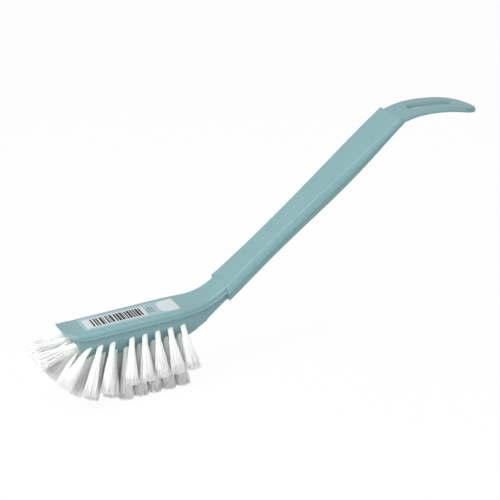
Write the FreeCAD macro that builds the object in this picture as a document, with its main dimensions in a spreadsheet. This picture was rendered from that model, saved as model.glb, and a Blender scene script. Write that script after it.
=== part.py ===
import FreeCAD, Part
import enum
import math
import os
import re
import Sketcher

# Dish brush: one moulded body (boat-shaped head, neck, stepped grip, curved hanger with a slot), tufts of
# bristles driven into blind holes, a flat wire anchor across the fold of each tuft, and a label on the back
# of the head. While it is built, X runs from the tip of the head towards the hanger, Z is up from the flat
# back of the head, and the brush is symmetric about Y = 0. Lengths are millimetres, angles degrees.

SIZES = {
    # back plate of the head and neck
    "head_width": 27.0,
    "nose_radius": 9.0,
    "neck_width": 21.0,
    "plate_thickness": 3.8,
    "rim_height": 0.8,
    "rim_step": 0.6,
    "rim_radius": 0.4,
    "pad_radius": 1.6,
    "pad_seat": 0.1,
    "tip_thickness": 1.2,
    "tip_rise": 3.1,
    "tip_hollow": 11.0,
    "tip_lift": 15.0,
    "neck_start": 76.0,
    "neck_radius": 40.0,
    "handle_angle": 33.8,
    "taper_lead": 12.0,
    "taper_run": 31.0,
    # boat-shaped block under the plate
    "block_inset": 1.9,
    "block_shoulder": 7.8,
    "block_depth": 20.5,
    "keel_width": 5.6,
    "bow_top": 3.0,
    "bow_foot": 14.0,
    "heel_radius": 11.0,
    "neck_depth": 7.4,
    "neck_length": 19.3,
    "neck_root": 7.0,
    # grip, with its widths and thicknesses at stations along it, some of them shares of its length
    "grip_length": 140.0,
    "grip_step": 0.3,
    "grip_side_step": 0.7,
    "grip_lip": 1.3,
    "shoulder_tilt": 22.0,
    "waist_share": 0.157,
    "waist_width": 19.7,
    "waist_thickness": 9.2,
    "middle_width": 20.5,
    "middle_thickness": 9.3,
    "swell_share": 0.671,
    "swell_width": 23.0,
    "swell_thickness": 8.6,
    "palm_share": 0.807,
    "palm_width": 25.0,
    "palm_thickness": 7.1,
    "grip_end_width": 26.0,
    "grip_end_thickness": 4.9,
    "side_bulge": 1.1,
    "parting_ledge": 0.35,
    "bottom_inset": 0.8,
    "grip_edge_radius": 0.9,
    "crescent_reach": 2.4,
    "crescent_radius": 27.0,
    "crescent_lift": 0.05,
    # hanger
    "hanger_thickness": 3.0,
    "hanger_root": 4.0,
    "hanger_sink": 1.3,
    "hanger_peak": 15.6,
    "hanger_rise_radius": 50.0,
    "hanger_fall_radius": 98.0,
    "hanger_reach": 54.0,
    "hanger_inset": 0.4,
    "hanger_edge_radius": 1.1,
    "slot_start": 11.5,
    "slot_end_wall": 11.0,
    "slot_width": 6.8,
    # tufts and their holes
    "hole_diameter": 3.8,
    "tuft_clearance": 0.25,
    "tuft_tip_diameter": 8.0,
    "tuft_collar": 3.4,
    "outer_edge": 2.4,
    "outer_heel_wall": 5.5,
    "outer_gap_rear": 39.1,
    "outer_gap_front": 27.5,
    "outer_bow_wall": 3.3,
    "outer_length": 26.0,
    "outer_front_length": 28.5,
    "outer_bow_length": 25.0,
    "outer_hole": 7.5,
    "outer_splay": 11.0,
    "outer_heel_lean": 5.0,
    "outer_lean_step": 4.0,
    "outer_front_lean": -17.0,
    "outer_front_lean_step": 7.5,
    "outer_bow_lean": -46.0,
    "inner_edge": 1.1,
    "inner_heel_wall": 6.8,
    "inner_gap_rear": 36.6,
    "inner_gap_front": 29.6,
    "inner_bow_wall": 2.0,
    "inner_length": 29.5,
    "inner_front_length": 26.5,
    "inner_bow_length": 23.0,
    "inner_hole": 10.0,
    "inner_splay": 4.0,
    "inner_heel_lean": -3.5,
    "inner_lean_step": 1.0,
    "inner_front_lean": -13.0,
    "inner_front_lean_step": 11.0,
    "inner_bow_lean": -35.0,
    "bow_row": 4.2,
    "bow_height": 10.0,
    "bow_hole": 7.0,
    "bow_length": 23.0,
    "bow_lean": 54.0,
    "corner_edge": 2.9,
    "corner_height": 6.0,
    "corner_hole": 6.5,
    "corner_lean": 78.0,
    "corner_yaw": 2.0,
    "tip_height": 4.9,
    "tip_hole": 6.5,
    "tip_lean": 81.0,
    "nose_length": 24.5,
    "nose_tip_diameter": 9.0,
    # flat wire anchors
    "anchor_width": 4.6,
    "anchor_height": 1.6,
    "anchor_thickness": 0.4,
    "anchor_clearance": 0.06,
    "anchor_setback": 0.9,
    # label
    "label_tip_margin": 2.2,
    "label_neck_margin": 5.4,
    "label_side_margin": 1.9,
    "label_thickness": 0.15,
    "label_corner": 1.6,
    "label_skew": -1.5,
}

REAR_COUNT = 5         # tufts of a row behind its gap
FRONT_COUNT = 3        # tufts of a row ahead of its gap
TUFT_SIDES = 8         # flats round the solid of a tuft
BLANK_MARGIN = 1.0     # how far a blank runs past the shape that trims it

# Expressions that several pieces share.
THROUGH = "(2 * (neck_start + grip_length + hanger_reach))"
BLOCK_HALF = "(head_width / 2 - block_inset)"
HOLLOW_RADIUS = "((tip_hollow^2 + tip_rise^2) / (2 * tip_rise))"
SEAM = "(plate_thickness / 3)"
BOW_DEPTH = f"(sqrt(({HOLLOW_RADIUS} + {SEAM})^2 - (tip_hollow - bow_top)^2) - {HOLLOW_RADIUS})"
NECK_END_X = "(neck_start + neck_radius * sin(handle_angle))"
NECK_END_Z = "(neck_radius * (1 - cos(handle_angle)))"
GRIP_START_THICKNESS = "(neck_depth + grip_step + grip_lip)"

HALF_CIRCLE = "half circle"
PLANES = {
    "XY": FreeCAD.Rotation(),
    "XZ": FreeCAD.Rotation(FreeCAD.Vector(1, 0, 0), 90),
    "YZ": FreeCAD.Rotation(FreeCAD.Vector(1, 1, 1), 120),
}


class CurvePoint(enum.IntEnum):
    """The numbers by which a sketch knows the points of one of its curves."""

    START = 1
    END = 2
    CENTRE = 3


doc = FreeCAD.newDocument("DishBrush")
sizes = doc.addObject("Spreadsheet::Sheet", "Sizes")


def fill_sheet():
    """Write every driving dimension into the sheet under its own alias."""
    for row, (alias, number) in enumerate(SIZES.items(), start=1):
        sizes.set(f"A{row}", alias)
        sizes.set(f"B{row}", str(number))
        sizes.setAlias(f"B{row}", alias)
    doc.recompute()


def bound(text):
    """The expression with each alias in it read from the sheet."""
    return re.sub(r"[a-z_]+", lambda word: f"Sizes.{word[0]}" if word[0] in SIZES else word[0], text)


def value(text):
    """The number that an expression of aliases comes to."""
    return float(sizes.evalExpression(bound(text)))


def bind(feature, **properties):
    """Bind properties of a feature to expressions of aliases."""
    for name, text in properties.items():
        feature.setExpression(name, bound(text))


def arc_through(start, end, radius, turn):
    """The circular arc of up to a half circle between two points; turn is +1 to the left, -1 to the right."""
    chord = end - start
    half = chord.Length / 2
    rise = math.sqrt(max(radius**2 - half**2, 0.0))
    left = FreeCAD.Vector(-chord.y, chord.x, 0).normalize()
    centre = start + chord / 2 + left * rise * turn
    first, last = (start, end) if turn > 0 else (end, start)
    angles = [math.atan2(point.y - centre.y, point.x - centre.x) for point in (first, last)]
    circle = Part.Circle(centre, FreeCAD.Vector(0, 0, 1), radius)
    return Part.ArcOfCircle(circle, angles[0], angles[1])


def hold(sketch, kind, geometry, vertex, text):
    """Hold one coordinate of a sketch point at an expression of aliases."""
    number = value(text)
    index = sketch.addConstraint(Sketcher.Constraint(kind, -1, 1, geometry, vertex, number))
    sketch.setExpression(f"Constraints[{index}]", bound(text))


def outline(name, rotation, corners):
    """A closed, fully held sketch.

    Each corner is (x, y) or (x, y, radius, turn), as expressions: with a radius, the edge that leaves it is
    an arc, and with HALF_CIRCLE it is a half circle to a corner straight above or below.
    """
    sketch = doc.addObject("Sketcher::SketchObject", name)
    sketch.Placement = FreeCAD.Placement(FreeCAD.Vector(), rotation)
    points = [FreeCAD.Vector(value(corner[0]), value(corner[1]), 0) for corner in corners]
    starts = []
    ends = []
    for index, corner in enumerate(corners):
        start = points[index]
        end = points[(index + 1) % len(points)]
        if len(corner) == 2:
            sketch.addGeometry(Part.LineSegment(start, end))
        else:
            radius = (end - start).Length / 2 if corner[2] == HALF_CIRCLE else value(corner[2])
            sketch.addGeometry(arc_through(start, end, radius, corner[3]))
        runs_forward = len(corner) == 2 or corner[3] > 0
        starts.append(CurvePoint.START if runs_forward else CurvePoint.END)
        ends.append(CurvePoint.END if runs_forward else CurvePoint.START)
    for index, corner in enumerate(corners):
        following = (index + 1) % len(corners)
        sketch.addConstraint(
            Sketcher.Constraint("Coincident", index, ends[index], following, starts[following]))
        hold(sketch, "DistanceX", index, starts[index], corner[0])
        hold(sketch, "DistanceY", index, starts[index], corner[1])
        if len(corner) > 2 and corner[2] == HALF_CIRCLE:
            hold(sketch, "DistanceX", index, CurvePoint.CENTRE, corner[0])
        elif len(corner) > 2:
            radius = sketch.addConstraint(Sketcher.Constraint("Radius", index, value(corner[2])))
            sketch.setExpression(f"Constraints[{radius}]", bound(corner[2]))
    return sketch


def extrude(sketch, length, both_ways=True):
    """A solid made by pushing a sketch along its normal."""
    solid = doc.addObject("Part::Extrusion", sketch.Name + "_solid")
    solid.Base = sketch
    solid.DirMode = "Normal"
    solid.Solid = True
    solid.Symmetric = both_ways
    bind(solid, LengthFwd=length)
    return solid


def combine(kind, name, shapes):
    """A multi-shape boolean of the given kind."""
    result = doc.addObject(kind, name)
    result.Shapes = shapes
    return result


def edges_between(shape, first, second):
    """Numbers of the edges where a face whose upward lean passes one test meets one that passes the other."""
    numbers = []
    for number, edge in enumerate(shape.Edges, start=1):
        middle = edge.valueAt((edge.FirstParameter + edge.LastParameter) / 2)
        faces = [face for face in shape.Faces if any(edge.isSame(other) for other in face.Edges)]
        leans = [face.normalAt(*face.Surface.parameter(middle)).z for face in faces]
        if len(leans) == 2 and any(first(a) and second(b) for a, b in (leans, leans[::-1])):
            numbers.append(number)
    return numbers


def is_wall(lean):
    """Whether a face with this upward lean stands upright."""
    return abs(lean) < 0.01


def is_flat(lean):
    """Whether a face with this upward lean lies rather than stands."""
    return abs(lean) > 0.5


def is_back(lean):
    """Whether a face with this upward lean looks up."""
    return lean > 0.5


def rounded(name, base, numbers, radius):
    """The base with one radius on its numbered edges."""
    doc.recompute()
    result = doc.addObject("Part::Fillet", name)
    result.Base = base
    result.Edges = [(number, value(radius), value(radius)) for number in numbers(base.Shape)]
    return result


def along_handle(run, depth):
    """A point of the straight handle, run along it and depth below its back, as a pair of expressions."""
    x = f"{NECK_END_X} + ({run}) * cos(handle_angle) + ({depth}) * sin(handle_angle)"
    z = f"{NECK_END_Z} + ({run}) * sin(handle_angle) - ({depth}) * cos(handle_angle)"
    return x, z


def head_plan(name, inset):
    """The outline of the head and neck from above: a blunt round nose, straight sides, an S-shaped taper."""
    half = f"(head_width / 2 - {inset})"
    slim = f"(neck_width / 2 - {inset})"
    nose = f"(nose_radius - {inset})"
    narrowing = "(head_width / 2 - neck_width / 2)"
    bend = f"((taper_run^2 + {narrowing}^2) / (4 * {narrowing}))"
    start_x = "(neck_start - taper_lead)"
    middle_x = f"({start_x} + taper_run / 2)"
    middle_y = f"(({half} + {slim}) / 2)"
    taper_end_x = f"({start_x} + taper_run)"
    end_x = along_handle(f"neck_root + {BLANK_MARGIN}", "plate_thickness + neck_depth")[0]
    corners = [
        ("nose_radius", f"-{half}"),
        (start_x, f"-{half}", bend, 1),
        (middle_x, f"-{middle_y}", bend, -1),
        (taper_end_x, f"-{slim}"),
        (end_x, f"-{slim}"),
        (end_x, slim),
        (taper_end_x, slim, bend, -1),
        (middle_x, middle_y, bend, 1),
        (start_x, half),
        ("nose_radius", half, nose, 1),
        (inset, f"{half} - {nose}"),
        (inset, f"-{half} + {nose}", nose, 1),
    ]
    return outline(name, PLANES["XY"], corners)


def lift_radius(depth, tip, reach):
    """The radius that lifts a level line at this depth to this height at the tip, over this reach."""
    return f"(({reach}^2 + ({tip} + {depth})^2) / (2 * ({tip} + {depth})))"


def plate_strip(name, top, bottom):
    """A strip with the side view of the plate, level along the head, lifted at the tip, risen at the neck.

    Top and bottom are each a depth below the back, a height at the tip and the reach of the lift.
    """
    top_depth, top_tip, top_reach = top
    low_depth, low_tip, low_reach = bottom
    top_radius = lift_radius(*top)
    low_radius = lift_radius(*bottom)
    tip_top = f"{top_radius} - {top_depth} - sqrt({top_radius}^2 - ({top_reach} + {BLANK_MARGIN})^2)"
    tip_low = f"{low_radius} - {low_depth} - sqrt({low_radius}^2 - ({low_reach} + {BLANK_MARGIN})^2)"
    corners = [
        (f"-{BLANK_MARGIN}", tip_top),
        (f"-{BLANK_MARGIN}", tip_low, low_radius, 1),
        (low_reach, f"-{low_depth}"),
        ("neck_start", f"-{low_depth}", f"neck_radius + {low_depth}", 1),
        along_handle("0", low_depth),
        along_handle("neck_root", low_depth),
        along_handle("neck_root", top_depth),
        along_handle("0", top_depth) + (f"neck_radius + {top_depth}", -1),
        ("neck_start", f"-{top_depth}"),
        (top_reach, f"-{top_depth}", top_radius, -1),
    ]
    return extrude(outline(name, PLANES["XZ"], corners), THROUGH)


def plate_layer(name, strip, inset, radius):
    """A strip of the plate trimmed to the head's plan, with round upper edges."""
    plan = extrude(head_plan(f"{name}_plan", inset), THROUGH)
    blank = combine("Part::MultiCommon", f"{name}_blank", [strip, plan])
    return rounded(f"{name}_layer", blank, lambda shape: edges_between(shape, is_back, is_wall), radius)


def plate():
    """The back plate: a pad with round shoulders on a thin rim that stands out round it and forms the tip."""
    rim_top = ("(plate_thickness - rim_height)", "tip_rise", "tip_lift")
    rim_under = ("plate_thickness", "(tip_rise - tip_thickness)", "tip_lift")
    rim = plate_layer("rim", plate_strip("rim_side", rim_top, rim_under), "0", "rim_radius")
    pad_depth = "(plate_thickness - pad_seat)"
    pad_under = (pad_depth, "(tip_rise - tip_thickness + pad_seat)", "tip_lift")
    deep_under = (pad_depth, "(tip_rise - tip_thickness - 2 * pad_radius)", "tip_lift")
    above = (f"(-{BLANK_MARGIN})", f"(tip_rise + {BLANK_MARGIN})", "tip_hollow")
    deep_strip = plate_strip("pad_side", ("0", "tip_rise", "tip_hollow"), deep_under)
    deep_pad = plate_layer("pad", deep_strip, "rim_step", "pad_radius")
    pad = combine("Part::MultiCommon", "pad", [deep_pad, plate_strip("pad_room", above, pad_under)])
    return [rim, pad]


def block():
    """The boat-shaped block under the plate, with raked bow, keel, heel and the underside of the neck."""
    neck_foot = along_handle("-neck_length", "neck_depth")
    climb = f"atan2(({neck_foot[1]}) + block_depth; ({neck_foot[0]}) - neck_start)"
    tangent = f"heel_radius * tan({climb} / 2)"
    side_corners = [
        ("bow_top", f"-{BOW_DEPTH}"),
        ("bow_foot", "-block_depth"),
        (f"neck_start - {tangent}", "-block_depth", "heel_radius", 1),
        (f"neck_start + {tangent} * cos({climb})", f"-block_depth + {tangent} * sin({climb})"),
        neck_foot,
        along_handle("neck_root", "neck_depth"),
        along_handle("neck_root", SEAM),
        along_handle("0", SEAM) + (f"neck_radius + {SEAM}", -1),
        ("neck_start", f"-{SEAM}"),
        ("tip_hollow", f"-{SEAM}", f"{HOLLOW_RADIUS} + {SEAM}", -1),
    ]
    side = extrude(outline("block_side", PLANES["XZ"], side_corners), THROUGH)
    plan = extrude(head_plan("block_plan", "block_inset"), THROUGH)
    flare = f"(({BLOCK_HALF} - keel_width / 2) / (block_depth - block_shoulder))"
    low = f"(keel_width / 2 - {BLANK_MARGIN} * {flare})"
    section_corners = [
        (f"-{low}", f"-block_depth - {BLANK_MARGIN}"),
        (low, f"-block_depth - {BLANK_MARGIN}"),
        (BLOCK_HALF, "-block_shoulder"),
        (BLOCK_HALF, THROUGH),
        (f"-{BLOCK_HALF}", THROUGH),
        (f"-{BLOCK_HALF}", "-block_shoulder"),
    ]
    section = extrude(outline("block_section", PLANES["YZ"], section_corners), THROUGH)
    return combine("Part::MultiCommon", "block", [side, plan, section])


def grip_section(name, station, width, thickness, tilt):
    """A section of the grip: flat back, sides that swell to a ledge at the parting line, slim underside."""
    stretch = f"/ cos({tilt})"
    half = f"({width} / 2)"
    bulge = f"(side_bulge * {thickness} / {GRIP_START_THICKNESS})"
    inset = f"(bottom_inset * {thickness} / {GRIP_START_THICKNESS})"
    top = f"(grip_step {stretch})"
    middle = f"({top} - {thickness} / 2 {stretch})"
    bottom = f"({top} - {thickness} {stretch})"
    side_radius = f"((({thickness} / 2 {stretch})^2 + {bulge}^2) / (2 * {bulge}))"
    corners = [
        (f"-{half} + {inset}", bottom),
        (f"{half} - {inset}", bottom),
        (f"{half} + {bulge} - parting_ledge", middle),
        (f"{half} + {bulge}", middle, side_radius, 1),
        (half, top),
        (f"-{half}", top, side_radius, 1),
        (f"-{half} - {bulge}", middle),
        (f"-{half} - {bulge} + parting_ledge", middle),
    ]
    sketch = outline(name, PLANES["YZ"], corners)
    x, z = along_handle(station, "0")
    lean = FreeCAD.Rotation(FreeCAD.Vector(0, 1, 0), value(f"{tilt} - handle_angle"))
    base = FreeCAD.Vector(value(x), 0, value(z))
    sketch.Placement = FreeCAD.Placement(base, lean.multiply(PLANES["YZ"]))
    return sketch


def broad_edges(shape):
    """Numbers of the long edges beside the faces that cross the middle: the grip's back and its underside."""
    reach = shape.BoundBox.XLength / 2
    broad = [face for face in shape.Faces if face.BoundBox.YMin < 0 < face.BoundBox.YMax]
    borders = [edge for face in broad for edge in face.Edges if edge.BoundBox.XLength > reach]
    return [number for number, edge in enumerate(shape.Edges, start=1)
            if any(edge.isSame(border) for border in borders)]


def crescent():
    """The round cut that leaves a crescent at the neck's level on the back of the grip."""
    cut = doc.addObject("Part::Cylinder", "crescent")
    bind(cut, Radius="crescent_radius", Height="2 * grip_step")
    x, z = along_handle("crescent_reach - crescent_radius", "-crescent_lift")
    base = FreeCAD.Vector(value(x), 0, value(z))
    cut.Placement = FreeCAD.Placement(base, FreeCAD.Rotation(FreeCAD.Vector(0, 1, 0), -value("handle_angle")))
    return cut


def grip():
    """The grip: a loft through sections that narrow at the waist, then widen and thin towards the hanger."""
    start_width = "(neck_width + 2 * grip_side_step)"
    stations = [
        ("grip_start", "0", start_width, GRIP_START_THICKNESS, "shoulder_tilt"),
        ("waist", "grip_length * waist_share", "waist_width", "waist_thickness", "0"),
        ("middle", "grip_length / 2", "middle_width", "middle_thickness", "0"),
        ("swell", "grip_length * swell_share", "swell_width", "swell_thickness", "0"),
        ("palm", "grip_length * palm_share", "palm_width", "palm_thickness", "0"),
        ("grip_end", "grip_length", "grip_end_width", "grip_end_thickness", "0"),
    ]
    loft = doc.addObject("Part::Loft", "grip_blank")
    loft.Sections = [grip_section(f"{name}_section", *rest) for name, *rest in stations]
    loft.Solid = True
    loft.Ruled = False
    grip_cut = doc.addObject("Part::Cut", "grip")
    grip_cut.Base = rounded("grip_rounded", loft, broad_edges, "grip_edge_radius")
    grip_cut.Tool = crescent()
    return grip_cut


def hanger():
    """The hanger: a strip that curves over the end of the handle, rounded in plan, with a slot."""
    root_x, root_z = along_handle("grip_length", "0")
    dip = "(hanger_rise_radius - sqrt(hanger_rise_radius^2 - hanger_peak^2))"
    peak_x = f"({root_x} + hanger_peak)"
    peak_z = f"({root_z} - hanger_sink + {dip})"
    rise = "(hanger_peak + hanger_root)"
    fall = f"(hanger_reach - hanger_peak + {BLANK_MARGIN})"
    under_rise_radius = "(hanger_rise_radius - hanger_thickness)"
    under_fall_radius = "(hanger_fall_radius - hanger_thickness)"

    def side_point(run, radius, peak_offset):
        """A point of an arc through the peak, run past it (or before it) along X."""
        height = f"{peak_z} - {peak_offset} - {radius} + sqrt({radius}^2 - ({run})^2)"
        return f"{peak_x} + ({run})", height

    corners = [
        side_point(f"-{rise}", "hanger_rise_radius", "0"),
        side_point(f"-{rise}", under_rise_radius, "hanger_thickness") + (under_rise_radius, -1),
        (peak_x, f"{peak_z} - hanger_thickness", under_fall_radius, -1),
        side_point(fall, under_fall_radius, "hanger_thickness"),
        side_point(fall, "hanger_fall_radius", "0") + ("hanger_fall_radius", 1),
        (peak_x, peak_z, "hanger_rise_radius", 1),
    ]
    strip = extrude(outline("hanger_side", PLANES["XZ"], corners), THROUGH)
    half = "(grip_end_width / 2 - hanger_inset)"
    start_x = f"{root_x} - hanger_root - {BLANK_MARGIN}"
    bend_x = f"{root_x} + hanger_reach - {half}"
    plan_corners = [
        (start_x, f"-{half}"),
        (bend_x, f"-{half}", HALF_CIRCLE, 1),
        (bend_x, half),
        (start_x, half),
    ]
    plan = extrude(outline("hanger_plan", PLANES["XY"], plan_corners), THROUGH)
    blank = combine("Part::MultiCommon", "hanger_blank", [strip, plan])
    slot_half = "slot_width / 2"
    first = f"({root_x} + slot_start + {slot_half})"
    last = f"({root_x} + hanger_reach - slot_end_wall - {slot_half})"
    slot_corners = [
        (first, f"-{slot_half}"),
        (last, f"-{slot_half}", HALF_CIRCLE, 1),
        (last, slot_half),
        (first, slot_half, HALF_CIRCLE, 1),
    ]
    slot = extrude(outline("hanger_slot", PLANES["XY"], slot_corners), THROUGH)
    cut = doc.addObject("Part::Cut", "hanger_slotted")
    cut.Base = blank
    cut.Tool = slot
    return rounded("hanger", cut, lambda shape: edges_between(shape, is_flat, is_wall), "hanger_edge_radius")


class Tuft:
    """Where one tuft sits: its name, the hole's mouth, its turn, free length, hole depth and spread.

    In a tuft's own frame the axis is Z, the mouth is at 0, the hole runs up and the bristles hang down.
    """

    def __init__(self, name, mouth, rotation, length, hole, spread="tuft_tip_diameter"):
        self.name = name
        self.placement = FreeCAD.Placement(mouth, rotation)
        self.length = length
        self.hole = hole
        self.spread = spread


def turned(lean=0.0, splay=0.0, yaw=0.0):
    """The turn of a tuft: lean towards the hanger, splay towards +Y, and yaw of both about the vertical."""
    about_z = FreeCAD.Rotation(FreeCAD.Vector(0, 0, 1), yaw)
    about_y = FreeCAD.Rotation(FreeCAD.Vector(0, 1, 0), -lean)
    about_x = FreeCAD.Rotation(FreeCAD.Vector(1, 0, 0), splay)
    return about_z.multiply(about_y).multiply(about_x)


def bow_station(height):
    """How far behind the tip the raked bow is, at a depth below the back of the head."""
    share = f"(({height}) - {BOW_DEPTH}) / (block_depth - {BOW_DEPTH})"
    return f"(bow_top + (bow_foot - bow_top) * {share})"


def evenly(first, last, count):
    """Evenly spaced numbers from first to last."""
    return [first + (last - first) * index / (count - 1) for index in range(count)]


def row_tufts(row, offset, side, sign):
    """One row of tufts on a flank of the block, fanned along the head and splayed to its side."""
    slope = f"((block_depth - block_shoulder) / ({BLOCK_HALF} - keel_width / 2))"
    depth = f"(block_shoulder + ({BLOCK_HALF} - {offset}) * {slope})"
    rear = evenly(value(f"neck_start - {row}_heel_wall"), value(f"{row}_gap_rear"), REAR_COUNT)
    front = evenly(value(f"{row}_gap_front"), value(f"{bow_station(depth)} + {row}_bow_wall"), FRONT_COUNT)
    leans = [f"{row}_heel_lean - {index} * {row}_lean_step" for index in range(REAR_COUNT)]
    leans += [f"{row}_front_lean - {index} * {row}_front_lean_step" for index in range(FRONT_COUNT - 1)]
    leans.append(f"{row}_bow_lean")
    lengths = [f"{row}_length"] * REAR_COUNT + [f"{row}_front_length"] * (FRONT_COUNT - 1)
    lengths.append(f"{row}_bow_length")
    result = []
    for number, (station, lean, length) in enumerate(zip(rear + front, leans, lengths), start=1):
        mouth = FreeCAD.Vector(station, sign * value(offset), -value(depth))
        rotation = turned(lean=value(lean), splay=sign * value(f"{row}_splay"))
        result.append(Tuft(f"tuft_{side}_{row}_{number}", mouth, rotation, length, f"{row}_hole"))
    return result


def bow_mouth(height, offset):
    """A hole's mouth on the raked bow, at a depth below the back and an offset to the side."""
    return FreeCAD.Vector(value(bow_station(height)), offset, -value(height))


def nose_tufts(side, sign):
    """The two tufts at one side of the nose: one low on the raked bow and one high on its corner."""
    low = bow_mouth("bow_height", sign * value("bow_row"))
    high = bow_mouth("corner_height", sign * value(f"{BLOCK_HALF} - corner_edge"))
    high_turn = turned(lean=-value("corner_lean"), yaw=-sign * value("corner_yaw"))
    return [
        Tuft(f"tuft_{side}_bow", low, turned(lean=-value("bow_lean")), "bow_length", "bow_hole"),
        Tuft(f"tuft_{side}_corner", high, high_turn, "nose_length", "corner_hole", "nose_tip_diameter"),
    ]


def all_tufts():
    """Every tuft of the brush, both sides and the one in the middle of the tip."""
    result = []
    for side, sign in (("left", -1), ("right", 1)):
        result += row_tufts("outer", f"({BLOCK_HALF} - outer_edge)", side, sign)
        result += row_tufts("inner", "(keel_width / 2 + inner_edge)", side, sign)
        result += nose_tufts(side, sign)
    tip_turn = turned(lean=-value("tip_lean"))
    tip_mouth = bow_mouth("tip_height", 0)
    result.append(Tuft("tuft_tip", tip_mouth, tip_turn, "nose_length", "tip_hole", "nose_tip_diameter"))
    return result


def anchor_bar(name, hole, clearance):
    """The flat wire anchor across a tuft, near the bottom of its hole, or the room that the anchor takes."""
    wide = f"(anchor_width + 2 * {clearance})"
    thick = f"(anchor_thickness + 2 * {clearance})"
    bar = doc.addObject("Part::Box", name)
    bind(bar, Length=wide, Width=thick, Height=f"anchor_height + 2 * {clearance}")
    corner_z = value(f"{hole} - anchor_setback - anchor_height - {clearance}")
    bar.Placement.Base = FreeCAD.Vector(value(f"-{wide} / 2"), value(f"-{thick} / 2"), corner_z)
    return bar


def tuft_ring(name, radius, height):
    """One section across a tuft."""
    ring = doc.addObject("Part::RegularPolygon", name)
    ring.Polygon = TUFT_SIDES
    bind(ring, Circumradius=radius)
    ring.Placement.Base = FreeCAD.Vector(0, 0, value(height))
    return ring


def tuft_solid(tuft):
    """A tuft: a shank that fills its hole up to a collar, then opens to the tips, notched for its anchor."""
    radius = "(hole_diameter / 2 - tuft_clearance)"
    whole = doc.addObject("Part::Loft", tuft.name + "_whole")
    whole.Sections = [
        tuft_ring(tuft.name + "_foot", radius, f"{tuft.hole} - tuft_clearance"),
        tuft_ring(tuft.name + "_collar", radius, "-tuft_collar"),
        tuft_ring(tuft.name + "_tips", f"{tuft.spread} / 2", f"-{tuft.length}"),
    ]
    whole.Solid = True
    whole.Ruled = True
    notched = doc.addObject("Part::Cut", tuft.name)
    notched.Base = whole
    notched.Tool = anchor_bar(tuft.name + "_notch", tuft.hole, "anchor_clearance")
    notched.Placement = tuft.placement
    notched.Label = tuft.name
    return notched


def hole_solid(tuft):
    """The room that a tuft takes in the block: its hole and the slits that its anchor bites."""
    bore = doc.addObject("Part::Cylinder", tuft.name + "_bore")
    bind(bore, Radius="hole_diameter / 2", Height=f"{tuft.hole} + 2 * tuft_collar")
    bore.Placement.Base = FreeCAD.Vector(0, 0, value("-2 * tuft_collar"))
    room = doc.addObject("Part::Fuse", tuft.name + "_room")
    room.Base = bore
    room.Tool = anchor_bar(tuft.name + "_slit", tuft.hole, "anchor_clearance")
    room.Placement = tuft.placement
    return room


def brush_body(tufts):
    """The moulded body: plate, block, grip and hanger in one, drilled for the tufts."""
    blank = combine("Part::MultiFuse", "body_blank", plate() + [block(), grip(), hanger()])
    drilling = doc.addObject("Part::Compound", "drilling")
    drilling.Links = [hole_solid(tuft) for tuft in tufts]
    body = doc.addObject("Part::Cut", "brush_body")
    body.Base = blank
    body.Tool = drilling
    body.Label = "brush_body"
    return body


def tuft_anchors(tufts):
    """The anchors of all tufts, as separate solids of one node."""
    anchors = []
    for tuft in tufts:
        bar = anchor_bar(tuft.name + "_anchor", tuft.hole, "0")
        bar.Placement = tuft.placement.multiply(bar.Placement)
        anchors.append(bar)
    group = doc.addObject("Part::Compound", "tuft_anchors")
    group.Links = anchors
    group.Label = "tuft_anchors"
    return group


def label():
    """The label stuck on the flat back of the head, between its hollow tip and its neck, a little askew."""
    start = "(tip_hollow + label_tip_margin)"
    end = "(neck_start - label_neck_margin)"
    long = f"(({end} - {start}) / 2)"
    wide = "(head_width / 2 - rim_step - pad_radius - label_side_margin)"
    corner = "label_corner"
    corners = [
        (f"-{long} + {corner}", f"-{wide}"),
        (f"{long} - {corner}", f"-{wide}", corner, 1),
        (long, f"-{wide} + {corner}"),
        (long, f"{wide} - {corner}", corner, 1),
        (f"{long} - {corner}", wide),
        (f"-{long} + {corner}", wide, corner, 1),
        (f"-{long}", f"{wide} - {corner}"),
        (f"-{long}", f"-{wide} + {corner}", corner, 1),
    ]
    sheet = extrude(outline("label_outline", PLANES["XY"], corners), "label_thickness", both_ways=False)
    sheet.Label = "label"
    middle = FreeCAD.Vector(value(f"({start} + {end}) / 2"), 0, 0)
    skew = FreeCAD.Rotation(FreeCAD.Vector(0, 0, 1), value("label_skew"))
    sheet.Placement = FreeCAD.Placement(middle, skew)
    return sheet


def stand_on_origin(pieces):
    """Move the pieces together so that the middle of the brush's lowest level is the origin."""
    box = FreeCAD.BoundBox()
    for piece in pieces:
        box.add(piece.Shape.optimalBoundingBox(False))
    shift = FreeCAD.Placement(FreeCAD.Vector(-box.Center.x, -box.Center.y, -box.ZMin), FreeCAD.Rotation())
    for piece in pieces:
        piece.Placement = shift.multiply(piece.Placement)
    doc.recompute()


def check(pieces):
    """Stop if any feature failed or a piece has no sound solid."""
    failed = [item.Name for item in doc.Objects if {"Invalid", "Error"} & set(item.State)]
    failed += [piece.Label for piece in pieces if piece.Shape.isNull() or not piece.Shape.isValid()]
    failed += [piece.Label for piece in pieces if not piece.Shape.isNull() and not piece.Shape.Solids]
    if failed:
        raise RuntimeError("these did not build: " + ", ".join(failed))


def main():
    fill_sheet()
    tufts = all_tufts()
    pieces = [brush_body(tufts), tuft_anchors(tufts), label()]
    pieces += [tuft_solid(tuft) for tuft in tufts]
    doc.recompute()
    check(pieces)
    stand_on_origin(pieces)
    check(pieces)
    os.makedirs("parts", exist_ok=True)
    for piece in pieces:
        piece.Shape.exportStep(f"parts/{piece.Label}.step")
    print(len(pieces), "nodes,", sum(len(piece.Shape.Solids) for piece in pieces), "solids")


main()
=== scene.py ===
"""Finishes, bristles, label print and studio for a dish brush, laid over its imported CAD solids."""

import logging
import math
import random
from dataclasses import dataclass
from enum import Enum, IntEnum

import bmesh
import bpy
import numpy as np
from mathutils import Matrix, Vector


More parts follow.
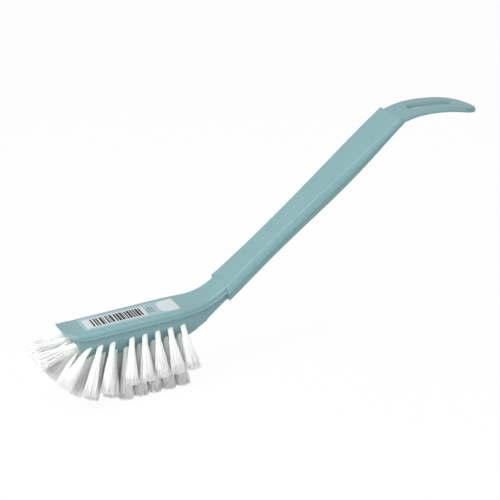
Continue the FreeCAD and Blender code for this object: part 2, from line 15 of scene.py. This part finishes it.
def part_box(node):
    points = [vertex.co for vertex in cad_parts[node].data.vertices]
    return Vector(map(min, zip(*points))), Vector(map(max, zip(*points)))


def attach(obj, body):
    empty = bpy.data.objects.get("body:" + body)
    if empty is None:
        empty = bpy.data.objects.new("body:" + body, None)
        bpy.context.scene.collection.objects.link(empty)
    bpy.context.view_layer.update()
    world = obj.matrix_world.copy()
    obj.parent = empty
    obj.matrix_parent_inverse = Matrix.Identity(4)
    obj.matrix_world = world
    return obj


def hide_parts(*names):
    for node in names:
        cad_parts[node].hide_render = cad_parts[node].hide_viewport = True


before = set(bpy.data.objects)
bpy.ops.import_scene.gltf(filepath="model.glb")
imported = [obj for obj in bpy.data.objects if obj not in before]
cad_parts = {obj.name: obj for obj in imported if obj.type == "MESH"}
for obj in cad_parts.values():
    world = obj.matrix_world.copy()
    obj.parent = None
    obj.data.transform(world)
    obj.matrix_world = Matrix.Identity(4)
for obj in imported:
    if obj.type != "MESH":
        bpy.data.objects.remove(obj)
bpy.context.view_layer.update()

log = logging.getLogger("dish_brush")

MM = 0.001
ROOT_BODY = "root"
GOLDEN_ANGLE = math.pi * (3.0 - math.sqrt(5.0))
Colour = tuple[float, float, float]
Place = tuple[float, float, float]

# Noise of the shared grain
CLOUD_NOISE = {"Detail": 2.0, "Roughness": 0.5}
FINE_NOISE = {"Detail": 3.0, "Roughness": 0.6}

# Reading a tuft's seat from its solid
POINT_DECIMALS = 7
AXIS_PASSES = 2
END_SHARE = 0.02
SHANK_SHARE = 0.02


class Slot(Enum):
    """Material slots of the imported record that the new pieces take."""

    BRISTLES = "bristles"
    LABEL = "label"


class Print(IntEnum):
    """Materials of the label's print, in the order in which it holds them."""

    PAPER = 0
    INK = 1
    TINT = 2


class NodeBench:
    """Places shader nodes in one tree and joins them."""

    def __init__(self, tree: bpy.types.NodeTree) -> None:
        """Keeps the tree that the nodes go into."""
        self.tree = tree

    def add(self, kind: str, **inputs: object) -> bpy.types.Node:
        """Places a node and sets some of its inputs.

        Args:
            kind: Blender's name for the type of node.
            inputs: Values by socket name, with an underscore for each space.

        Returns:
            The new node.
        """
        node = self.tree.nodes.new(kind)
        for name, setting in inputs.items():
            node.inputs[name.replace("_", " ")].default_value = setting
        return node

    def join(self, source: bpy.types.NodeSocket, target: bpy.types.NodeSocket) -> None:
        """Links an output to an input."""
        self.tree.links.new(source, target)

    def maths(self, operation: str, first: bpy.types.NodeSocket,
              second: bpy.types.NodeSocket | float) -> bpy.types.NodeSocket:
        """Combines two values.

        Args:
            operation: Blender's name for the operation.
            first: The first value.
            second: The second value, from a socket or as a number.

        Returns:
            The socket of the result.
        """
        node = self.tree.nodes.new("ShaderNodeMath")
        node.operation = operation
        self.join(first, node.inputs[0])
        if isinstance(second, bpy.types.NodeSocket):
            self.join(second, node.inputs[1])
        else:
            node.inputs[1].default_value = second
        return node.outputs[0]

    def blend(self, share: bpy.types.NodeSocket, first: Colour,
              second: bpy.types.NodeSocket | Colour) -> bpy.types.NodeSocket:
        """Mixes two colours.

        Args:
            share: How much of the second colour shows.
            first: The colour at 0.
            second: The colour at 1, from a socket or as numbers.

        Returns:
            The socket of the mixed colour.
        """
        node = self.tree.nodes.new("ShaderNodeMix")
        node.data_type = "RGBA"
        self.join(share, node.inputs["Factor"])
        colours = [socket for socket in node.inputs if socket.type == "RGBA"]
        colours[0].default_value = (*first, 1.0)
        if isinstance(second, bpy.types.NodeSocket):
            self.join(second, colours[1])
        else:
            colours[1].default_value = (*second, 1.0)
        return next(socket for socket in node.outputs if socket.type == "RGBA")


def grain_group() -> bpy.types.NodeTree:
    """The grain that every smooth finish shares: slow clouds of tone and a fine skin.

    Returns:
        A group whose Cloud and Fine change over the surface.
    """
    group = bpy.data.node_groups.new("surface_grain", "ShaderNodeTree")
    for name in ("Cloud Scale", "Fine Scale"):
        group.interface.new_socket(name=name, in_out="INPUT", socket_type="NodeSocketFloat")
    for name in ("Cloud", "Fine"):
        group.interface.new_socket(name=name, in_out="OUTPUT", socket_type="NodeSocketFloat")
    bench = NodeBench(group)
    given = bench.add("NodeGroupInput")
    result = bench.add("NodeGroupOutput")
    place = bench.add("ShaderNodeTexCoord")
    for name, settings in (("Cloud", CLOUD_NOISE), ("Fine", FINE_NOISE)):
        noise = bench.add("ShaderNodeTexNoise", **settings)
        bench.join(place.outputs["Object"], noise.inputs["Vector"])
        bench.join(given.outputs[f"{name} Scale"], noise.inputs["Scale"])
        bench.join(noise.outputs["Fac"], result.inputs[name])
    return group


def new_material(name: str) -> tuple[bpy.types.Material, NodeBench, bpy.types.Node]:
    """Starts a material.

    Args:
        name: The finish's name.

    Returns:
        The material, the bench of its nodes and its shader.
    """
    material = bpy.data.materials.new(name)
    material.use_nodes = True
    return material, NodeBench(material.node_tree), material.node_tree.nodes["Principled BSDF"]


@dataclass(frozen=True)
class GrainedFinish:
    """A smooth finish with clouds of tone and a fine grain."""

    name: str
    dark: Colour
    light: Colour
    smoothest: float
    roughest: float
    cloud_scale: float = 60.0
    fine_scale: float = 2600.0
    grain_depth: float = 0.02 * MM
    metallic: float = 0.0
    specular: float = 0.5

    def material(self, grain: bpy.types.NodeTree) -> bpy.types.Material:
        """Builds the finish.

        Args:
            grain: The shared group of the grain.

        Returns:
            The material.
        """
        material, bench, shader = new_material(self.name)
        skin = bench.add("ShaderNodeGroup")
        skin.node_tree = grain
        skin.inputs["Cloud Scale"].default_value = self.cloud_scale
        skin.inputs["Fine Scale"].default_value = self.fine_scale
        tone = bench.blend(skin.outputs["Cloud"], self.dark, self.light)
        bench.join(tone, shader.inputs["Base Color"])
        rough = bench.maths("MULTIPLY", skin.outputs["Fine"], self.roughest - self.smoothest)
        bench.join(bench.maths("ADD", rough, self.smoothest), shader.inputs["Roughness"])
        bump = bench.add("ShaderNodeBump", Distance=self.grain_depth)
        bench.join(skin.outputs["Fine"], bump.inputs["Height"])
        bench.join(bump.outputs["Normal"], shader.inputs["Normal"])
        shader.inputs["Metallic"].default_value = self.metallic
        shader.inputs["Specular IOR Level"].default_value = self.specular
        return material


@dataclass(frozen=True)
class BristleFinish:
    """White monofilament that differs from strand to strand, with painted green light bounced from
    the body near its root.
    """

    name: str
    # The root colour is painted green bounce light from the body, not a colour of the nylon.
    root: Colour
    dull: Colour
    bright: Colour
    green_bounce_reach: float
    roughness: float

    def material(self) -> bpy.types.Material:
        """Builds the finish from the strand and along attributes of the tufts.

        Returns:
            The material.
        """
        material, bench, shader = new_material(self.name)
        strand = bench.add("ShaderNodeAttribute")
        strand.attribute_name = "strand"
        along = bench.add("ShaderNodeAttribute")
        along.attribute_name = "along"
        tone = bench.blend(strand.outputs["Fac"], self.dull, self.bright)
        # Painted bounce light: near the root the white fades into the root colour, the body's green
        # light thrown onto the bristles.
        reach = bench.add("ShaderNodeMapRange", From_Max=self.green_bounce_reach)
        bench.join(along.outputs["Fac"], reach.inputs["Value"])
        colour = bench.blend(reach.outputs["Result"], self.root, tone)
        bench.join(colour, shader.inputs["Base Color"])
        shader.inputs["Roughness"].default_value = self.roughness
        return material


def new_object(name: str, shape: bmesh.types.BMesh) -> bpy.types.Object:
    """Turns a finished shape into an object of the scene.

    Args:
        name: The object's name.
        shape: The shape, which is used up.

    Returns:
        The new object.
    """
    mesh = bpy.data.meshes.new(name)
    shape.to_mesh(mesh)
    shape.free()
    made = bpy.data.objects.new(name, mesh)
    bpy.context.scene.collection.objects.link(made)
    return made


def add_piece(name: str, shape: bmesh.types.BMesh) -> bpy.types.Object:
    """Turns a finished shape into a piece that rides on the brush.

    Args:
        name: The piece's name.
        shape: The shape, which is used up.

    Returns:
        The new object.
    """
    piece = new_object(name, shape)
    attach(piece, ROOT_BODY)
    return piece


def smooth(piece: bpy.types.Object) -> None:
    """Shades every face of a piece smoothly."""
    for face in piece.data.polygons:
        face.use_smooth = True


def paint(piece: bpy.types.Object, *finishes: bpy.types.Material) -> None:
    """Puts materials on a piece in place of those it has.

    Args:
        piece: The piece.
        finishes: Its materials, in the order of their indices.
    """
    if piece.data.materials:
        piece.data.materials.clear()
    for finish in finishes:
        piece.data.materials.append(finish)


@dataclass
class BrushBody:
    """The moulded body: head, neck, grip and hanger."""

    node: str = "brush_body"
    weld: float = 0.001 * MM
    crease_angle: float = math.radians(42)

    def dress(self, finish: bpy.types.Material) -> None:
        """Smooths the shading of the moulding between its creases and paints it.

        Args:
            finish: The plastic.
        """
        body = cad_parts[self.node]
        weld = body.modifiers.new("weld", "WELD")
        weld.merge_threshold = self.weld
        creases = body.modifiers.new("creases", "EDGE_SPLIT")
        creases.split_angle = self.crease_angle
        even = body.modifiers.new("even_normals", "WEIGHTED_NORMAL")
        even.keep_sharp = True
        smooth(body)
        paint(body, finish)
        log.info("piece %s", body.name)


@dataclass
class TuftAnchors:
    """The wire across the fold of each tuft, deep in its hole."""

    node: str = "tuft_anchors"

    def dress(self, finish: bpy.types.Material) -> None:
        """Paints the anchors.

        Args:
            finish: The wire.
        """
        paint(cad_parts[self.node], finish)
        log.info("piece %s", self.node)


@dataclass(frozen=True)
class TuftSeat:
    """Where one tuft sits, read from its CAD solid."""

    foot: Vector
    axis: Vector
    side: Vector
    collar: float
    length: float
    foot_radius: float
    tip_radius: float

    @classmethod
    def of_node(cls, node: bpy.types.Object) -> "TuftSeat":
        """Finds the foot, the collar where the tuft starts to open, and the tips.

        Args:
            node: The CAD solid of a tuft, a shank that opens into a cone.

        Returns:
            The tuft's seat.
        """
        corners = [vertex.co for vertex in node.data.vertices]
        points = np.unique(np.round(corners, POINT_DECIMALS), axis=0)
        middle = points.mean(axis=0)
        axis = np.linalg.svd(points - middle, full_matrices=False)[2][0]
        for _ in range(AXIS_PASSES):
            run = (points - middle) @ axis
            near_end = END_SHARE * np.ptp(run)
            ends = [points[run < run.min() + near_end], points[run > run.max() - near_end]]
            ends.sort(key=lambda ring: np.linalg.norm(ring - ring.mean(axis=0), axis=1).max())
            foot, tip = (ring.mean(axis=0) for ring in ends)
            axis = (tip - foot) / np.linalg.norm(tip - foot)
        run = (points - foot) @ axis
        reach = np.linalg.norm(points - foot - np.outer(run, axis), axis=1)
        foot_radius = float(np.linalg.norm(ends[0] - foot, axis=1).max())
        shank = np.abs(reach - foot_radius) < SHANK_SHARE * foot_radius
        return cls(
            foot=Vector(foot),
            axis=Vector(axis),
            side=Vector(axis).orthogonal().normalized(),
            collar=float(run[shank].max()),
            length=float(run.max()),
            foot_radius=foot_radius,
            tip_radius=float(reach.max()),
        )


@dataclass
class TuftField:
    """All the tufts, each a bundle of loose filaments in the room of its CAD solid."""

    prefix: str = "tuft_"
    strands: int = 260
    strand_radius: float = 0.17 * MM
    sides: int = 4
    bends: int = 5
    tip_narrowing: float = 0.25
    tip_power: int = 6
    trim: float = 0.8 * MM
    wander: float = 0.4 * MM
    wander_power: int = 2
    bow: float = 0.2 * MM
    fullness: float = 0.92
    flare: float = 1.15
    nose_flare: float = 1.3
    nose_tufts: tuple[str, ...] = ("_bow", "_corner", "_tip", "_outer_8")
    seed: int = 7

    def template(self) -> bpy.types.Mesh:
        """One straight filament of unit radius and unit height.

        Returns:
            The mesh that each filament is bent from.
        """
        half_height = 0.5
        shape = bmesh.new()
        bmesh.ops.create_cone(shape, cap_ends=True, segments=self.sides,
                              radius1=1.0, radius2=1.0, depth=2 * half_height)
        bmesh.ops.translate(shape, verts=shape.verts, vec=(0.0, 0.0, half_height))
        uprights = [edge for edge in shape.edges
                    if abs(edge.verts[0].co.z - edge.verts[1].co.z) > half_height]
        bmesh.ops.subdivide_edges(shape, edges=uprights, cuts=self.bends, use_grid_fill=True)
        mesh = bpy.data.meshes.new("filament")
        shape.to_mesh(mesh)
        shape.free()
        return mesh

    def bend(self, local: np.ndarray, seat: TuftSeat, flare: float, chance: np.random.Generator
             ) -> tuple[np.ndarray, np.ndarray, np.ndarray]:
        """Lays the filaments of one tuft from its hole to its tips.

        Args:
            local: Points of the template.
            seat: Where the tuft sits.
            flare: How far the tips open, as a share of the solid's own.
            chance: The source of what differs from strand to strand.

        Returns:
            Points of all the filaments, how far along its free length each lies, and each one's
            strand tone.
        """
        count = self.strands
        turn = GOLDEN_ANGLE * np.arange(count) + chance.uniform(0, 2 * math.pi)
        out = self.fullness * np.sqrt((np.arange(count) + 0.5) / count)
        spot = np.stack([np.cos(turn), np.sin(turn)], axis=1) * out[:, None]
        stray = chance.normal(0.0, self.wander, (count, 2))
        sag = chance.normal(0.0, self.bow, (count, 2))
        ends = seat.length - np.abs(chance.normal(0.0, self.trim, count))
        tone = chance.uniform(0.0, 1.0, count)

        height = local[None, :, 2] * ends[:, None]
        free = np.clip((height - seat.collar) / (seat.length - seat.collar), 0.0, 1.0)
        spread = seat.foot_radius + (flare * seat.tip_radius - seat.foot_radius) * free
        thick = self.strand_radius * (1.0 - self.tip_narrowing * free ** self.tip_power)
        across = (spot[:, None, :] * spread[:, :, None]
                  + stray[:, None, :] * (free ** self.wander_power)[:, :, None]
                  + sag[:, None, :] * np.sin(math.pi * free)[:, :, None]
                  + local[None, :, :2] * thick[:, :, None])
        first = np.array(seat.side)
        second = np.array(seat.axis.cross(seat.side))
        points = (np.array(seat.foot) + height[:, :, None] * np.array(seat.axis)
                  + across[:, :, :1] * first + across[:, :, 1:] * second)
        return points.reshape(-1, 3), free.ravel(), np.repeat(tone, len(local))

    def build(self, finish: bpy.types.Material) -> None:
        """Makes a bundle of filaments for every tuft solid.

        Args:
            finish: The monofilament.
        """
        template = self.template()
        local = np.array([vertex.co for vertex in template.vertices])
        chance = np.random.default_rng(self.seed)
        for name in sorted(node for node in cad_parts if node.startswith(self.prefix)):
            if name == TuftAnchors.node:
                continue
            shape = bmesh.new()
            for _ in range(self.strands):
                shape.from_mesh(template)
            piece = add_piece(name.replace("tuft", "bristles"), shape)
            flare = self.nose_flare if name.endswith(self.nose_tufts) else self.flare
            seat = TuftSeat.of_node(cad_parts[name])
            points, along, strand = self.bend(local, seat, flare, chance)
            piece.data.vertices.foreach_set("co", points.ravel())
            for attribute, values in (("along", along), ("strand", strand)):
                layer = piece.data.attributes.new(attribute, "FLOAT", "POINT")
                layer.data.foreach_set("value", values)
            smooth(piece)
            piece.data.update()
            paint(piece, finish)
            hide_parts(name)
            log.info("piece %s: %d filaments", piece.name, self.strands)
        bpy.data.meshes.remove(template)


@dataclass
class Label:
    """The label on the back of the head, with a print of bars, strokes and a bare panel."""

    node: str = "label"
    skew: float = math.radians(-1.5)
    ink_thickness: float = 0.02 * MM
    patch_length: float = 36.5 * MM
    patch_width: float = 13.2 * MM
    patch_start: float = 2.2 * MM
    bars_start: float = 6.6 * MM
    bars_length: float = 30.4 * MM
    bars_width: float = 10.8 * MM
    bar_module: float = 0.5 * MM
    bar_modules: tuple[int, ...] = (1, 2, 2, 2, 3)
    gap_modules: tuple[int, ...] = (1, 1, 1, 2)
    panel_length: float = 10.8 * MM
    panel_width: float = 16.0 * MM
    panel_end: float = 0.5 * MM
    panel_round: float = 5.0 * MM
    panel_round_steps: int = 8
    note_gap: float = 0.9 * MM
    note_rows: int = 3
    note_row: float = 1.5 * MM
    note_stroke: float = 0.7 * MM
    note_width: float = 9.0 * MM
    note_word: tuple[float, float] = (1.2 * MM, 2.8 * MM)
    note_space: float = 0.7 * MM
    seed: int = 11

    def sheet(self, shape: bmesh.types.BMesh, start: float, length: float, width: float,
              level: float, finish: Print, across: float = 0.0) -> list[bmesh.types.BMVert]:
        """Adds one flat patch of print, laid on the label from its tip end.

        Args:
            shape: The print.
            start: Where the patch starts along the label.
            length: The patch's size along the label.
            width: Its size across the label.
            level: Its underside above the label.
            finish: Which of the print's materials it has.
            across: Its middle's place across the label.

        Returns:
            The corners of the patch.
        """
        corners = bmesh.ops.create_cube(shape, size=1.0)["verts"]
        bmesh.ops.scale(shape, verts=corners, vec=(length, width, self.ink_thickness))
        middle = (start + length / 2, across, level + self.ink_thickness / 2)
        bmesh.ops.translate(shape, verts=corners, vec=middle)
        for face in {face for corner in corners for face in corner.link_faces}:
            face.material_index = finish
        return corners

    def round_end(self, shape: bmesh.types.BMesh, corners: list[bmesh.types.BMVert]) -> None:
        """Rounds the end of a patch that faces the tip.

        Args:
            shape: The print.
            corners: The corners of the patch.
        """
        nearest = min(corner.co.x for corner in corners)
        edges = {edge for corner in corners for edge in corner.link_edges
                 if all(abs(end.co.x - nearest) < self.ink_thickness for end in edge.verts)
                 and abs(edge.verts[0].co.z - edge.verts[1].co.z) > self.ink_thickness / 2}
        bmesh.ops.bevel(shape, geom=list(edges), offset=self.panel_round, affect="EDGES",
                        segments=self.panel_round_steps, profile=0.5, material=-1)

    def bars(self, shape: bmesh.types.BMesh, chance: random.Random) -> None:
        """Adds a row of plain bars along the label.

        Args:
            shape: The print.
            chance: The source of the widths of bars and gaps.
        """
        place = self.bars_start
        while place < self.bars_start + self.bars_length:
            bar = chance.choice(self.bar_modules) * self.bar_module
            self.sheet(shape, place, bar, self.bars_width, self.ink_thickness, Print.INK)
            place += bar + chance.choice(self.gap_modules) * self.bar_module

    def note(self, shape: bmesh.types.BMesh, chance: random.Random) -> None:
        """Adds rows of plain strokes across the label.

        Args:
            shape: The print.
            chance: The source of the strokes' lengths.
        """
        start = self.patch_start + self.patch_length + self.note_gap
        for row in range(self.note_rows):
            side = -self.note_width / 2
            while side + self.note_word[1] < self.note_width / 2:
                word = chance.uniform(*self.note_word)
                self.sheet(shape, start + row * self.note_row, self.note_stroke, word, 0.0,
                           Print.TINT, side + word / 2)
                side += word + self.note_space

    def build(self, film: bpy.types.Material, paper: bpy.types.Material,
              ink: bpy.types.Material, tint: bpy.types.Material) -> None:
        """Paints the label's film and lays its print on it.

        Args:
            film: The label's own film.
            paper: The white of the print.
            ink: The dark of the bars.
            tint: The colour of the rows of strokes.
        """
        low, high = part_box(self.node)
        paint(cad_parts[self.node], film)
        log.info("piece %s", self.node)
        shape = bmesh.new()
        label_length = high.x - low.x
        self.sheet(shape, self.patch_start, self.patch_length, self.patch_width, 0.0, Print.PAPER)
        panel_start = label_length - self.panel_end - self.panel_length
        panel = self.sheet(shape, panel_start, self.panel_length, self.panel_width, 0.0,
                           Print.PAPER)
        self.round_end(shape, panel)
        chance = random.Random(self.seed)
        self.bars(shape, chance)
        self.note(shape, chance)
        turn = Matrix.Rotation(self.skew, 4, "Z")
        middle = Vector(((low.x + high.x) / 2, (low.y + high.y) / 2, high.z))
        to_start = Matrix.Translation((-label_length / 2, 0.0, 0.0))
        seat = Matrix.Translation(middle) @ turn @ to_start
        bmesh.ops.transform(shape, matrix=seat, verts=shape.verts)
        bmesh.ops.recalc_face_normals(shape, faces=shape.faces)
        piece = add_piece("label_print", shape)
        paint(piece, paper, ink, tint)
        log.info("piece %s", piece.name)


@dataclass(frozen=True)
class Softbox:
    """A square lamp that faces the brush."""

    name: str
    place: Place
    size: float
    power: float

    def hang(self) -> None:
        """Adds the lamp to the scene and turns it to the brush."""
        light = bpy.data.lights.new(self.name, "AREA")
        light.size = self.size
        light.energy = self.power
        lamp = bpy.data.objects.new(self.name, light)
        lamp.location = self.place
        lamp.rotation_euler = (-Vector(self.place)).to_track_quat("-Z", "Y").to_euler()
        bpy.context.scene.collection.objects.link(lamp)


@dataclass
class Studio:
    """A pale floor, soft light from above and a white surround."""

    floor_size: float = 12.0
    floor_tone: float = 0.9
    floor_white: float = 0.96
    fill: float = 0.28
    lamps: tuple[Softbox, ...] = (
        Softbox("key", place=(-0.58, -0.32, 0.83), size=0.7, power=11.6),
        Softbox("side", place=(0.55, -0.55, 0.25), size=0.6, power=1.0),
        Softbox("front", place=(-0.35, -0.95, 0.2), size=0.7, power=1.3),
    )

    def seen_share(self, bench: NodeBench) -> bpy.types.NodeSocket:
        """1 for what the camera sees itself or in a reflection.

        Args:
            bench: The bench of a material or of the world.

        Returns:
            The socket of the share.
        """
        path = bench.add("ShaderNodeLightPath")
        glossy = bench.maths("MAXIMUM", path.outputs["Is Camera Ray"],
                             path.outputs["Is Glossy Ray"])
        return bench.maths("MAXIMUM", glossy, path.outputs["Is Transmission Ray"])

    def floor(self) -> None:
        """Lays the floor under the tips of the bristles."""
        shape = bmesh.new()
        bmesh.ops.create_grid(shape, x_segments=1, y_segments=1, size=self.floor_size / 2)
        floor = new_object("floor", shape)
        material, bench, shader = new_material("floor_white")
        shader.inputs["Base Color"].default_value = (self.floor_tone,) * 3 + (1.0,)
        shader.inputs["Roughness"].default_value = 1.0
        shader.inputs["Specular IOR Level"].default_value = 0.0
        glow = bench.add("ShaderNodeEmission", Strength=1.0)
        mix = bench.add("ShaderNodeMixShader")
        share, lit, seen = mix.inputs
        bench.join(bench.maths("MULTIPLY", self.seen_share(bench), self.floor_white), share)
        bench.join(shader.outputs["BSDF"], lit)
        bench.join(glow.outputs["Emission"], seen)
        output = bench.tree.nodes["Material Output"]
        bench.join(mix.outputs["Shader"], output.inputs["Surface"])
        paint(floor, material)

    def surround(self) -> None:
        """Sets the world: white where it is seen, a softer fill where it lights."""
        world = bpy.data.worlds.new("surround")
        world.use_nodes = True
        bench = NodeBench(world.node_tree)
        background = world.node_tree.nodes["Background"]
        background.inputs["Color"].default_value = (1.0, 1.0, 1.0, 1.0)
        raised = bench.maths("MULTIPLY", self.seen_share(bench), 1.0 - self.fill)
        bench.join(bench.maths("ADD", raised, self.fill), background.inputs["Strength"])
        bpy.context.scene.world = world

    def build(self) -> None:
        """Sets up the floor, the surround and the lamps."""
        self.floor()
        self.surround()
        for lamp in self.lamps:
            lamp.hang()
        bpy.context.scene.view_settings.view_transform = "Standard"


@dataclass
class PhotoCamera:
    """The camera of the photograph, aimed from the tip of the head's flat back."""

    azimuth: float = math.radians(-20.989)
    elevation: float = math.radians(21.947)
    roll: float = math.radians(-5.503)
    distance: float = 1200.0 * MM
    aim: Place = (110.28 * MM, -23.64 * MM, 31.43 * MM)
    lens: float = 152.93
    sensor: float = 36.0

    def build(self) -> None:
        """Places the camera and makes it the scene's."""
        tip = Vector((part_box("brush_body")[0].x, 0.0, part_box("label")[0].z))
        level = math.cos(self.elevation)
        back = Vector((math.sin(self.azimuth) * level, -math.cos(self.azimuth) * level,
                       math.sin(self.elevation)))
        data = bpy.data.cameras.new("photo_camera")
        data.lens = self.lens
        data.sensor_width = self.sensor
        camera = bpy.data.objects.new("photo_camera", data)
        place = Matrix.Translation(tip + Vector(self.aim) + back * self.distance)
        turn = back.to_track_quat("Z", "Y").to_matrix().to_4x4()
        camera.matrix_world = place @ turn @ Matrix.Rotation(self.roll, 4, "Z")
        bpy.context.scene.collection.objects.link(camera)
        bpy.context.scene.camera = camera


PLASTIC = GrainedFinish("aqua_plastic", dark=(0.178, 0.322, 0.340), light=(0.198, 0.350, 0.370),
                        smoothest=0.34, roughest=0.5, specular=0.35)
FILM = GrainedFinish("label_film", dark=(0.275, 0.410, 0.440), light=(0.290, 0.430, 0.460),
                     smoothest=0.3, roughest=0.42)
PAPER = GrainedFinish("label_white", dark=(0.54, 0.59, 0.60), light=(0.57, 0.62, 0.63),
                      smoothest=0.4, roughest=0.55)
INK = GrainedFinish("label_ink", dark=(0.010, 0.010, 0.014), light=(0.018, 0.018, 0.022),
                    smoothest=0.45, roughest=0.6, specular=0.2)
TINT = GrainedFinish("label_tint", dark=(0.040, 0.130, 0.150), light=(0.050, 0.150, 0.170),
                     smoothest=0.4, roughest=0.55)
WIRE = GrainedFinish("anchor_wire", dark=(0.5, 0.5, 0.5), light=(0.6, 0.6, 0.6),
                     smoothest=0.25, roughest=0.45, metallic=1.0)
# The root colour is painted pale green light, bounced from the body onto the bristles near their
# roots.
MONOFILAMENT = BristleFinish("monofilament", root=(0.90, 0.95, 0.90), dull=(0.96, 0.96, 0.96),
                             bright=(0.99, 0.99, 0.99), green_bounce_reach=0.2, roughness=0.4)


def main() -> None:
    """Dresses the brush, piece by piece, and sets up its studio."""
    logging.basicConfig(level=logging.INFO, format="%(message)s")
    grain = grain_group()
    BrushBody().dress(PLASTIC.material(grain))
    TuftField().build(MONOFILAMENT.material())
    Label().build(*(finish.material(grain) for finish in (FILM, PAPER, INK, TINT)))
    TuftAnchors().dress(WIRE.material(grain))
    Studio().build()
    PhotoCamera().build()


if __name__ == "__main__":
    main()
